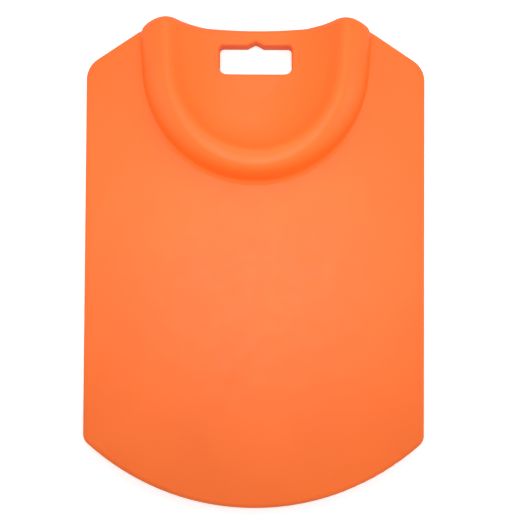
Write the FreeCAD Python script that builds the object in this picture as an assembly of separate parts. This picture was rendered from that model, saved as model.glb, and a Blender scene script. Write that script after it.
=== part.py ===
"""Cardiac compression board: a moulded back board with a U-shaped neck ridge and a hand slot.

The board lies flat on its back at z = 0 with the ridge up. X is its width, +Y points to the head end,
and the origin is under the middle of its bounding box. All sizes are in millimetres.
"""

import FreeCAD, Part
import os
from math import cos, hypot, pi, radians, sin, sqrt, tan

Vector = FreeCAD.Vector

# Board outline, seen from above
WIDTH = 420.0
LENGTH = 598.0
FOOT_RADIUS = 308.0  # the long arc of the foot end
FOOT_CORNER_RADIUS = 16.0
SHOULDER_Y = 245.4  # where the slanted shoulder would meet the straight side
SHOULDER_SLANT = radians(34)  # from the X axis
SHOULDER_CORNER_RADIUS = 30.0
RIDGE_END_X = 107.0  # the outermost point of each ridge end
HEAD_DIP = 8.0  # how far the head edge curves in between the two ridge ends

# Thickness
FACE_Z = 20.0
WALL = 3.6
PARTING_Z = 9.0
TOP_RIM_RADIUS = 7.0
BACK_RIM_RADIUS = 5.0
SEAM_DEPTH = 0.4  # the fine groove round the edge where the two halves of the mould met
SEAM_WIDTH = 0.8

# Neck ridge: half a ring round RING_Y, carried on as two straight legs to the head edge.
# Its sections run from the dish's floor over the crest and down the outer flank into the face.
# They are control points (distance from the ring's centre or the middle line, height over the face).
RING_Y = 245.0
LEG_SECTION = (
    (20, -1), (30, 0), (48, 2), (68, 8), (84, 17.5), (92.5, 26), (99, 35), (107, 38),
    (116, 35.5), (124, 29), (131.5, 22.5), (137, 14.5), (139.2, 3), (142, 0.5), (149, -1), (156, -3),
)
NECK_SECTION = (
    (32, -1), (42, 0), (60, 2.5), (77, 8), (92, 16), (102, 24.5), (108.5, 33), (115, 33.8),
    (123.5, 34.3), (130, 32), (135, 26.5), (138.6, 18), (141, 8), (143, 1.5), (150, -1), (156, -3),
)
LEG_FLARE = 0.018  # how much wider the section is at the head edge than at the ring
RIDGE_END_RADIUS = 14.0
RIDGE_END_TURN = radians(72)  # how far the rounded end turns before the board's wall cuts it
END_OVERRUN = 6.0
RIDGE_ROOT = 2.0  # how far the ridge's solid reaches down into the board

# Control net of the ridge's surface
TURN_STEPS = 24
LEG_STEPS = 3
END_STEPS = 5
DEGREE = 3

# Hand slot and hanging notch
SLOT_WIDTH = 90.0
SLOT_HEIGHT = 35.2
SLOT_Y = 253.6
SLOT_HEAD_RADIUS = 5.0  # of the slot's two corners on the head side
SLOT_FOOT_RADIUS = 8.0
NOTCH_WIDTH = 20.0
NOTCH_DEPTH = 5.2
NOTCH_TIP_RADIUS = 3.0
SLOT_LIP_RADIUS = 3.0
BACK_LIP_RADIUS = 2.0

# Back: stiffening channels, and the plugs of the filling hole and the vent holes
CHANNEL_XS = (-130.0, 0.0, 130.0)
CHANNEL_WIDTH = 24.0
CHANNEL_DEPTH = 4.0
CHANNEL_LENGTH = 300.0
CHANNEL_END_FLAT = 0.1  # half of the short straight that is left at each round end
CHANNEL_Y = -50.0
FILL_PLUG_Y = 150.0
FILL_PLUG_RADIUS = 9.0
VENT_PLUG_RADIUS = 3.5
VENT_SPOTS = ((-170.0, 190.0), (170.0, 190.0), (-165.0, -200.0), (165.0, -200.0))
PLUG_FLANGE = 4.0  # how far a plug's head is wider than its stem
PLUG_HEAD = 1.6
PLUG_STEM = 9.0
PLUG_EDGE_RADIUS = 0.6

CUT = 200.0  # longer than the board is thick
UNDER = 1.0  # how far under the board's back a cutter starts
NEAR = 1.0  # edges this close to a spot or a face belong to it
TINY = 1e-3  # rounding error of a length


# ---- outline ----


def end_radius():
    """Radius of each ridge end: its arc touches both the slanted shoulder and the far end of the box."""
    top = LENGTH / 2
    line_top = SHOULDER_Y + (WIDTH / 2 - RIDGE_END_X) * tan(SHOULDER_SLANT)
    return (line_top - top) / (1 / cos(SHOULDER_SLANT) - 1)


def dip_radius():
    """Radius of the hollow head edge: its arc touches both ridge ends and dips by HEAD_DIP."""
    return (RIDGE_END_X**2 + HEAD_DIP**2) / (2 * HEAD_DIP) - end_radius()


def outline_points():
    """The named points of the right half of the outline."""
    top = LENGTH / 2
    end_centre = Vector(RIDGE_END_X, top - end_radius())
    dip_centre = Vector(0, top - HEAD_DIP + dip_radius())
    toward_end = (end_centre - dip_centre).normalize()
    side = WIDTH / 2
    return {
        "foot": Vector(0, -top),
        "foot_corner": Vector(side, -top + FOOT_RADIUS - sqrt(FOOT_RADIUS**2 - side**2)),
        "shoulder": Vector(side, SHOULDER_Y),
        "end_start": end_centre + Vector(sin(SHOULDER_SLANT), cos(SHOULDER_SLANT)) * end_radius(),
        "end_tip": Vector(RIDGE_END_X, top),
        "dip_start": dip_centre + toward_end * dip_radius(),
        "dip": Vector(0, top - HEAD_DIP),
    }


def mirrored(point):
    return Vector(-point.x, point.y, point.z)


def head_edge_y(x):
    """Y of the head edge at this x."""
    p = outline_points()
    x = abs(x)
    if x < p["dip_start"].x:
        return LENGTH / 2 - HEAD_DIP + dip_radius() - sqrt(dip_radius() ** 2 - x**2)
    if x < p["end_start"].x:
        return LENGTH / 2 - end_radius() + sqrt(end_radius() ** 2 - (x - RIDGE_END_X) ** 2)
    return SHOULDER_Y + (WIDTH / 2 - x) * tan(SHOULDER_SLANT)


def sharp_outline():
    """The outline as a face, with its four side corners still sharp."""
    p = outline_points()
    half = [
        Part.LineSegment(p["foot_corner"], p["shoulder"]),
        Part.LineSegment(p["shoulder"], p["end_start"]),
        Part.Arc(p["end_start"], p["end_tip"], p["dip_start"]),
    ]
    other = [
        Part.LineSegment(mirrored(p["foot_corner"]), mirrored(p["shoulder"])),
        Part.LineSegment(mirrored(p["shoulder"]), mirrored(p["end_start"])),
        Part.Arc(mirrored(p["end_start"]), mirrored(p["end_tip"]), mirrored(p["dip_start"])),
    ]
    middle = [
        Part.Arc(mirrored(p["foot_corner"]), p["foot"], p["foot_corner"]),
        Part.Arc(mirrored(p["dip_start"]), p["dip"], p["dip_start"]),
    ]
    edges = [curve.toShape() for curve in half + other + middle]
    return Part.Face(Part.Wire(Part.__sortEdges__(edges)))


def is_upright(edge):
    """True if the edge is more than twice as tall as it is wide."""
    box = edge.BoundBox
    return box.ZLength > 2 * max(box.XLength, box.YLength)


def edges_at(prism, x, y):
    """The prism's upright edges at this spot."""
    found = []
    for edge in prism.Edges:
        centre = edge.BoundBox.Center
        if is_upright(edge) and hypot(centre.x - x, centre.y - y) < NEAR:
            found.append(edge)
    return found


def board_prism(inset, low, high):
    """The board's outline, inset all round, from z = low to z = high."""
    p = outline_points()
    prism = sharp_outline().extrude(Vector(0, 0, high - low))
    for corner, radius in (("foot_corner", FOOT_CORNER_RADIUS), ("shoulder", SHOULDER_CORNER_RADIUS)):
        spot = p[corner]
        for x in (-spot.x, spot.x):
            prism = prism.makeFillet(radius, edges_at(prism, x, spot.y))
    if inset:
        base = [f for f in prism.Faces if f.BoundBox.ZMax < TINY][0]
        prism = base.makeOffset2D(-inset).extrude(Vector(0, 0, high - low))
    prism.translate(Vector(0, 0, low))
    return prism


def level_edges(solid, z):
    """The edges that lie flat at this height."""
    return [e for e in solid.Edges if abs(e.BoundBox.ZMax - z) + abs(e.BoundBox.ZMin - z) < TINY]


def flat_board(inset):
    """The board without its ridge, as a solid with rounded rims, inset all over."""
    low, high = inset, FACE_Z - inset
    board = board_prism(inset, low, high)
    board = board.makeFillet(TOP_RIM_RADIUS - inset, level_edges(board, high))
    return board.makeFillet(BACK_RIM_RADIUS - inset, level_edges(board, low))


# ---- neck ridge ----


def offset_inward(points, inset):
    """The section's points moved into the solid, square to the section."""
    moved = []
    for i, (radius, height) in enumerate(points):
        before, after = points[max(i - 1, 0)], points[min(i + 1, len(points) - 1)]
        along = (after[0] - before[0], after[1] - before[1])
        size = hypot(*along)
        moved.append((radius + along[1] / size * inset, height - along[0] / size * inset))
    return moved


def ridge_section(neck, inset):
    """The section between a leg's, where neck is 0, and the neck's, where it is 1."""
    points = []
    for (leg_out, leg_up), (neck_out, neck_up) in zip(LEG_SECTION, NECK_SECTION):
        points.append((leg_out + (neck_out - leg_out) * neck, leg_up + (neck_up - leg_up) * neck))
    return offset_inward(points, inset)


def leg_row(side, back, drop, inset):
    """Points across one leg: back is how far the row lies from the head edge, drop lowers it."""
    row = []
    for radius, height in ridge_section(0.0, inset):
        x = side * radius * (1 + LEG_FLARE)
        row.append(Vector(x, head_edge_y(x) - inset - back, FACE_Z + height - drop))
    return row


def leg_rows(side, inset):
    """The rows of one leg, from the ring to beyond the head edge, with the rounded end."""
    rows = []
    bend = RIDGE_END_RADIUS - inset
    start_row = [Vector(side * radius, RING_Y, FACE_Z + height)
                 for radius, height in ridge_section(0.0, inset)]
    end_row = leg_row(side, bend, 0.0, inset)
    for i in range(1, LEG_STEPS):
        share = i / LEG_STEPS
        rows.append([a * (1 - share) + b * share for a, b in zip(start_row, end_row)])
    for i in range(END_STEPS + 1):
        turn = RIDGE_END_TURN * i / END_STEPS
        rows.append(leg_row(side, bend * (1 - sin(turn)), bend * (1 - cos(turn)), inset))
    over = bend * (1 - sin(RIDGE_END_TURN)) - END_OVERRUN
    drop = bend * (1 - cos(RIDGE_END_TURN)) + END_OVERRUN * tan(RIDGE_END_TURN)
    rows.append(leg_row(side, over, drop, inset))
    return rows


def ring_rows(inset):
    """The rows of the half ring, from the left leg round the neck to the right leg."""
    rows = []
    for i in range(TURN_STEPS + 1):
        turn = pi * i / TURN_STEPS - pi / 2
        section = ridge_section(cos(turn) ** 2, inset)
        rows.append([Vector(radius * sin(turn), RING_Y - radius * cos(turn), FACE_Z + height)
                     for radius, height in section])
    return rows


def smooth_surface(net):
    """A surface that the net of control points pulls into shape. It ends on the net's edges."""
    surface = Part.BSplineSurface()
    knots, counts = [], []
    for size in (len(net), len(net[0])):
        spans = size - DEGREE
        knots.append([i / spans for i in range(spans + 1)])
        counts.append([DEGREE + 1] + [1] * (spans - 1) + [DEGREE + 1])
    surface.buildFromPolesMultsKnots(net, *counts, *knots, False, False, DEGREE, DEGREE)
    return surface.toShape()


def ridge_block(inset):
    """The ridge and the head dish as one solid that reaches down into the board."""
    net = leg_rows(-1, inset)[::-1] + ring_rows(inset) + leg_rows(1, inset)
    block = smooth_surface(net).extrude(Vector(0, 0, -CUT))
    low = FACE_Z - inset - RIDGE_ROOT
    block = block.common(board_prism(inset, low, CUT))
    if not block.Solids:
        raise ValueError("the ridge's surface does not meet the board's edge cleanly")
    return block


# ---- slot, channels and plugs ----


def rounded_prism(corners, radii, low, high):
    """A prism whose outline is the polygon through these corners, each rounded unless its radius is 0."""
    face = Part.Face(Part.makePolygon([Vector(x, y, low) for x, y in corners + corners[:1]]))
    prism = face.extrude(Vector(0, 0, high - low))
    for (x, y), radius in zip(corners, radii):
        if radius:
            prism = prism.makeFillet(radius, edges_at(prism, x, y))
    return prism


def rectangle(x, y, width, height):
    return [(x + sx * width / 2, y + sy * height / 2) for sx, sy in ((-1, -1), (1, -1), (1, 1), (-1, 1))]


def slot_prism(grow, low, high):
    """The hand slot with its hanging notch, grown all round."""
    radii = (SLOT_FOOT_RADIUS, SLOT_FOOT_RADIUS, SLOT_HEAD_RADIUS, SLOT_HEAD_RADIUS)
    slot = rounded_prism(rectangle(0, SLOT_Y, SLOT_WIDTH, SLOT_HEIGHT), radii, low, high)
    top = SLOT_Y + SLOT_HEIGHT / 2
    corners = [(-NOTCH_WIDTH / 2, top), (NOTCH_WIDTH / 2, top), (0, top + NOTCH_DEPTH)]
    notch = rounded_prism(corners, (0, 0, NOTCH_TIP_RADIUS), low, high)
    slot = slot.fuse(notch).removeSplitter()
    if grow:
        base = [f for f in slot.Faces if f.BoundBox.ZMax < low + TINY][0]
        slot = base.makeOffset2D(grow).extrude(Vector(0, 0, high - low))
    return slot


def channel_cutters(grow, top):
    """The stiffening channels in the back, as prisms with round ends."""
    cutters = []
    for x in CHANNEL_XS:
        corners = rectangle(x, CHANNEL_Y, CHANNEL_WIDTH + 2 * grow, CHANNEL_LENGTH + 2 * grow)
        radius = CHANNEL_WIDTH / 2 + grow - CHANNEL_END_FLAT
        cutters.append(rounded_prism(corners, [radius] * len(corners), -UNDER, top))
    return Part.makeCompound(cutters)


def sharp_plug(x, y, stem_radius):
    """A plug pressed into the back, before its edge is rounded. It is also the shape of its hole."""
    head = Part.makeCylinder(stem_radius + PLUG_FLANGE, PLUG_HEAD, Vector(x, y, 0))
    stem = Part.makeCylinder(stem_radius, PLUG_STEM, Vector(x, y, 0))
    return head.fuse(stem).removeSplitter()


def rounded_plug(sharp):
    return sharp.makeFillet(PLUG_EDGE_RADIUS, level_edges(sharp, 0.0))


def vent_plugs():
    return [sharp_plug(x, y, VENT_PLUG_RADIUS) for x, y in VENT_SPOTS]


# ---- whole board ----


def lip_edges(body, x, y, width, height, low, high):
    """The edges round the mouth of a hole, between these heights."""
    found = []
    for edge in body.Edges:
        box = edge.BoundBox
        inside_x = abs(box.Center.x - x) < width / 2 + NEAR
        inside_y = abs(box.Center.y - y) < height / 2 + NEAR
        if inside_x and inside_y and box.ZMin > low and box.ZMax < high and not is_upright(edge):
            found.append(edge)
    return found


def outer_body():
    """The whole board as if it were solid."""
    body = flat_board(0.0).fuse(ridge_block(0.0)).cut(slot_prism(0.0, -UNDER, CUT))
    slot = (0.0, SLOT_Y, SLOT_WIDTH, SLOT_HEIGHT + 2 * NOTCH_DEPTH)
    body = body.makeFillet(SLOT_LIP_RADIUS, lip_edges(body, *slot, FACE_Z - NEAR, CUT))
    body = body.makeFillet(BACK_LIP_RADIUS, lip_edges(body, *slot, -NEAR, NEAR))
    body = body.cut(channel_cutters(0.0, CHANNEL_DEPTH))
    for x in CHANNEL_XS:
        mouth = lip_edges(body, x, CHANNEL_Y, CHANNEL_WIDTH, CHANNEL_LENGTH, -NEAR, NEAR)
        body = body.makeFillet(BACK_LIP_RADIUS, mouth)
    return body.cut(seam_ring())


def seam_ring():
    """What the fine groove round the edge takes away."""
    low, high = PARTING_Z - SEAM_WIDTH / 2, PARTING_Z + SEAM_WIDTH / 2
    return board_prism(-SEAM_WIDTH, low, high).cut(board_prism(SEAM_DEPTH, low, high))


def cavity():
    """The space inside the skin, which the foam fills."""
    space = flat_board(WALL).fuse(ridge_block(WALL))
    space = space.cut(slot_prism(WALL, -UNDER, CUT))
    return space.cut(channel_cutters(WALL, CHANNEL_DEPTH + WALL))


def half_space(low, high):
    """Everything between these two heights."""
    return Part.makeBox(2 * WIDTH, 2 * LENGTH, high - low, Vector(-WIDTH, -LENGTH, low))


def build():
    """The board's pieces by name."""
    fill, vents = sharp_plug(0, FILL_PLUG_Y, FILL_PLUG_RADIUS), vent_plugs()
    plug_holes = Part.makeCompound([fill] + vents)
    space = cavity()
    shell = outer_body().cut(space).cut(plug_holes)
    foam = space.cut(plug_holes)
    core_top = FACE_Z - WALL
    return {
        "face_shell": shell.common(half_space(PARTING_Z, CUT)),
        "back_shell": shell.common(half_space(-UNDER, PARTING_Z)),
        "core_slab": foam.common(half_space(0.0, core_top)),
        "ridge_core": foam.common(half_space(core_top, CUT)),
        "fill_plug": rounded_plug(fill),
        "vent_plugs": Part.makeCompound([rounded_plug(vent) for vent in vents]),
    }


def main():
    os.makedirs("parts", exist_ok=True)
    for name, shape in build().items():
        shape.exportStep("parts/" + name + ".step")
        box = shape.BoundBox
        print(name, len(shape.Solids), shape.isValid(), round(shape.Volume / 1000, 1), "cm3",
              [round(v, 1) for v in (box.XMin, box.XMax, box.YMin, box.YMax, box.ZMin, box.ZMax)])


main()
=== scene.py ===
"""Looks for the cardiac compression board: moulded orange polyethylene on a plain pale floor."""

from math import cos, radians, sin

import bpy
from mathutils import Matrix, Vector


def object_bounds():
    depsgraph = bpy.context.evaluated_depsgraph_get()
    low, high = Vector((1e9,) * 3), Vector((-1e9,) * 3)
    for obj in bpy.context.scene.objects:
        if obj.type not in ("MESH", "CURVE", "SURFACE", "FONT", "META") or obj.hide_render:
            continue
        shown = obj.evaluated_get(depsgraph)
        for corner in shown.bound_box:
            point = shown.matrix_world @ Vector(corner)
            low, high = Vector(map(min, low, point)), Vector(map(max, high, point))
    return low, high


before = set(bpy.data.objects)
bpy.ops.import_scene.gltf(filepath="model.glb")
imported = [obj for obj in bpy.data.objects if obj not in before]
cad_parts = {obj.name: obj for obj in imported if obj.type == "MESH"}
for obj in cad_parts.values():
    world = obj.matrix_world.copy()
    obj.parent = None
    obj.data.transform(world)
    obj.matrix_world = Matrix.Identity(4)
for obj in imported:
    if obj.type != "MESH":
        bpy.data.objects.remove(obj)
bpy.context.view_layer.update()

# Camera, in metres: almost straight above the board's face, leaning a little towards its foot
VIEW_DISTANCE = 0.95
VIEW_LEAN = radians(1.2)
VIEW_ROLL = radians(0.34)
LENS_MM = 53.28
SENSOR_MM = 36.0
AIM = Vector((0.0080, 0.0047, 0.0200))
NEAREST_SEEN = 0.05
FARTHEST_SEEN = 50.0

# Area lamps: name, place, width of the square and power. They point at LIT_SPOT.
LIT_SPOT = (0.0, 0.05, 0.0)
LAMPS = (
    ("head", (0.2, 1.35, 1.2), 0.9, 5.2),
    ("left", (-1.4, 0.05, 0.65), 0.7, 3.0),
    ("right", (1.4, 0.05, 0.65), 0.7, 4.0),
)
# Spot lamp over the board, which leaves its foot end a little darker
SPOT_PLACE = (0.0, -0.03, 1.5)
SPOT_AIM = (0.0, 0.14, 0.0)
SPOT_POWER = 64.0
SPOT_CONE = radians(28)
SPOT_FADE = 1.0  # the light falls off over the whole cone
SPOT_SOFTNESS = 0.32
WORLD_STRENGTH = 0.66  # light on the board
BACKDROP_STRENGTH = 0.97  # what the camera sees behind the floor

# Floor
FLOOR_SIZE = 12.0
FLOOR_DROP = 0.0003  # the floor lies this far under the board, clear of its back
FLOOR_WHITE = (0.96, 0.96, 0.96)
FLOOR_DULL = (0.55, 0.55, 0.55)  # what the board's sides meet, so that the floor throws no glare on them
FLOOR_GLOW = 0.30  # lifts the shadows that the camera sees in the slot and round the board

# Colours, linear
WHITE = (1.0, 1.0, 1.0)
BLACK = (0.0, 0.0, 0.0)
ORANGE = (0.98, 0.158, 0.016)
PLUG_ORANGE = (0.90, 0.115, 0.012)
FOAM_CREAM = (0.82, 0.70, 0.48)

# Roughness of the surfaces
SHELL_ROUGHNESS = 0.46
PLUG_ROUGHNESS = 0.30
MATTE = 0.9

# Polyethylene: noise in blobs to the metre, and relief as its strength and its height in metres
CLOUDS_PER_METRE = 9
CLOUD_SHADES = (0.96, 1.03)
SHEEN_PER_METRE = 60
SHEEN_SPREAD = 0.03
WAVES_PER_METRE = 45
WAVE_RELIEF = (0.10, 0.0006)
PEEL_PER_METRE = 650
PEEL_RELIEF = (0.12, 0.0004)
SKIN_SPECULAR = 0.35
NOISE_MIDDLE = (0.3, 0.7)  # where most of a noise's values lie

# Rigid foam
CELLS_PER_METRE = 700
CELL_SHADES = (1.05, 0.85)  # from the middle of a cell to its rim
CELL_MIDDLE = (0.1, 0.8)
CELL_RELIEF = (0.35, 0.0006)


# ---- materials ----


class Recipe:
    """A new node material, with short calls for the nodes that every recipe here uses."""

    def __init__(self, name):
        self.material = bpy.data.materials.new(name)
        self.material.use_nodes = True
        self.tree = self.material.node_tree
        self.shader = self.tree.nodes["Principled BSDF"]
        self.place = self.node("ShaderNodeTexCoord").outputs["Object"]

    def node(self, kind, **values):
        """A new node with these values on its sockets."""
        made = self.tree.nodes.new(kind)
        for name, value in values.items():
            made.inputs[name].default_value = value
        return made

    def join(self, output, socket):
        """Feeds an output into a socket."""
        self.tree.links.new(output, socket)

    def noise(self, per_metre, detail):
        """Cloudy noise with this many blobs to the metre."""
        made = self.node("ShaderNodeTexNoise", Scale=per_metre, Detail=detail)
        self.join(self.place, made.inputs["Vector"])
        return made.outputs["Fac"]

    def cells(self, per_metre):
        """Foam-like cells, this many to the metre."""
        made = self.node("ShaderNodeTexVoronoi", Scale=per_metre)
        self.join(self.place, made.inputs["Vector"])
        return made.outputs["Distance"]

    def ramp(self, factor, first, last, stretch=(0.0, 1.0)):
        """A colour that runs from first to last as the factor goes over the stretch."""
        made = self.node("ShaderNodeValToRGB")
        for stop, position, colour in zip(made.color_ramp.elements, stretch, (first, last)):
            stop.position = position
            stop.color = (*colour, 1.0)
        self.join(factor, made.inputs["Fac"])
        return made.outputs["Color"]

    def spread(self, factor, low, high):
        """A number that runs from low to high over the middle of the noise."""
        limits = {"From Min": NOISE_MIDDLE[0], "From Max": NOISE_MIDDLE[1], "To Min": low, "To Max": high}
        made = self.node("ShaderNodeMapRange", **limits)
        self.join(factor, made.inputs["Value"])
        return made.outputs["Result"]

    def bump(self, pattern, relief, under=None):
        """Fine relief in this pattern, on top of another bump if there is one."""
        strength, height = relief
        made = self.node("ShaderNodeBump", Strength=strength, Distance=height)
        self.join(pattern, made.inputs["Height"])
        if under:
            self.join(under, made.inputs["Normal"])
        return made.outputs["Normal"]


def shade(colour, share):
    """The colour, this many times as bright."""
    return tuple(min(channel * share, 1.0) for channel in colour)


def shades(colour, shares):
    """The colour in two brightnesses."""
    return [shade(colour, share) for share in shares]


def moulded_plastic(name, colour, roughness):
    """Satin rotationally moulded polyethylene: a soft skin with a faint orange peel and cloudy tone."""
    recipe = Recipe(name)
    clouds = recipe.noise(CLOUDS_PER_METRE, detail=3)
    tone = recipe.ramp(clouds, *shades(colour, CLOUD_SHADES), NOISE_MIDDLE)
    recipe.join(tone, recipe.shader.inputs["Base Color"])
    patches = recipe.noise(SHEEN_PER_METRE, detail=4)
    sheen = recipe.spread(patches, roughness - SHEEN_SPREAD, roughness + SHEEN_SPREAD)
    recipe.join(sheen, recipe.shader.inputs["Roughness"])
    waves = recipe.bump(recipe.noise(WAVES_PER_METRE, detail=1), WAVE_RELIEF)
    peel = recipe.bump(recipe.noise(PEEL_PER_METRE, detail=2), PEEL_RELIEF, waves)
    recipe.join(peel, recipe.shader.inputs["Normal"])
    recipe.shader.inputs["Specular IOR Level"].default_value = SKIN_SPECULAR
    return recipe.material


def rigid_foam(name, colour):
    """Rigid polyurethane foam: matte and pale, with fine open cells."""
    recipe = Recipe(name)
    cells = recipe.cells(CELLS_PER_METRE)
    tone = recipe.ramp(cells, *shades(colour, CELL_SHADES), CELL_MIDDLE)
    recipe.join(tone, recipe.shader.inputs["Base Color"])
    recipe.join(recipe.bump(cells, CELL_RELIEF), recipe.shader.inputs["Normal"])
    recipe.shader.inputs["Roughness"].default_value = MATTE
    return recipe.material


def plain_floor(name):
    """A white floor, pale in the picture but dull to the light that would bounce off it."""
    recipe = Recipe(name)
    seen = recipe.node("ShaderNodeLightPath").outputs["Is Camera Ray"]
    recipe.join(recipe.ramp(seen, FLOOR_DULL, FLOOR_WHITE), recipe.shader.inputs["Base Color"])
    glow = recipe.ramp(seen, BLACK, shade(WHITE, FLOOR_GLOW))
    recipe.join(glow, recipe.shader.inputs["Emission Color"])
    recipe.shader.inputs["Emission Strength"].default_value = 1.0
    recipe.shader.inputs["Roughness"].default_value = MATTE
    return recipe.material


def dress(names, material):
    """Gives these CAD nodes one material."""
    for name in names:
        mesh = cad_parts[name].data
        mesh.materials.clear()
        mesh.materials.append(material)


# ---- stage ----


def place_camera():
    """Above the face, with the head end at the top of the picture."""
    data = bpy.data.cameras.new("camera")
    data.lens = LENS_MM
    data.sensor_width = SENSOR_MM
    data.clip_start = NEAREST_SEEN
    data.clip_end = FARTHEST_SEEN
    camera = bpy.data.objects.new("camera", data)
    bpy.context.scene.collection.objects.link(camera)
    back = Vector((0.0, -sin(VIEW_LEAN), cos(VIEW_LEAN)))
    turn = Matrix.Rotation(VIEW_LEAN, 4, "X") @ Matrix.Rotation(VIEW_ROLL, 4, "Z")
    camera.matrix_world = Matrix.Translation(AIM + back * VIEW_DISTANCE) @ turn
    bpy.context.scene.camera = camera


def add_lamp(data, place, aim):
    """Hangs a lamp at its place, pointed at what it lights."""
    lamp = bpy.data.objects.new(data.name, data)
    bpy.context.scene.collection.objects.link(lamp)
    lamp.location = place
    lamp.rotation_euler = (Vector(aim) - Vector(place)).to_track_quat("-Z", "Y").to_euler()


def soft_lamp(name, place, width, power):
    """A square area lamp pointed at the board."""
    data = bpy.data.lights.new(name, "AREA")
    data.shape = "SQUARE"
    data.size = width
    data.energy = power
    add_lamp(data, place, LIT_SPOT)


def spot_lamp():
    """The soft spot lamp over the board."""
    data = bpy.data.lights.new("overhead", "SPOT")
    data.spot_size = SPOT_CONE
    data.spot_blend = SPOT_FADE
    data.shadow_soft_size = SPOT_SOFTNESS
    data.energy = SPOT_POWER
    add_lamp(data, SPOT_PLACE, SPOT_AIM)


def pale_world():
    """Soft light from all round, with a white backdrop behind it in the picture."""
    world = bpy.data.worlds.new("world")
    bpy.context.scene.world = world
    world.use_nodes = True
    tree = world.node_tree
    seen = tree.nodes.new("ShaderNodeLightPath").outputs["Is Camera Ray"]
    strength = tree.nodes.new("ShaderNodeMapRange")
    strength.inputs["To Min"].default_value = WORLD_STRENGTH
    strength.inputs["To Max"].default_value = BACKDROP_STRENGTH
    tree.links.new(seen, strength.inputs["Value"])
    background = tree.nodes["Background"]
    background.inputs["Color"].default_value = (*WHITE, 1.0)
    tree.links.new(strength.outputs["Result"], background.inputs["Strength"])


def lay_floor():
    """A wide plane just under the board."""
    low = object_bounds()[0][2] - FLOOR_DROP
    bpy.ops.mesh.primitive_plane_add(size=FLOOR_SIZE, location=(0.0, 0.0, low))
    floor = bpy.context.object
    floor.name = "floor"
    floor.data.materials.append(plain_floor("white_table"))


place_camera()
dress(("face_shell", "back_shell"), moulded_plastic("orange_polyethylene", ORANGE, SHELL_ROUGHNESS))
dress(("fill_plug", "vent_plugs"), moulded_plastic("plug_polyethylene", PLUG_ORANGE, PLUG_ROUGHNESS))
dress(("core_slab", "ridge_core"), rigid_foam("rigid_foam", FOAM_CREAM))
pale_world()
for lamp in LAMPS:
    soft_lamp(*lamp)
spot_lamp()
lay_floor()
bpy.context.scene.view_settings.view_transform = "Standard"
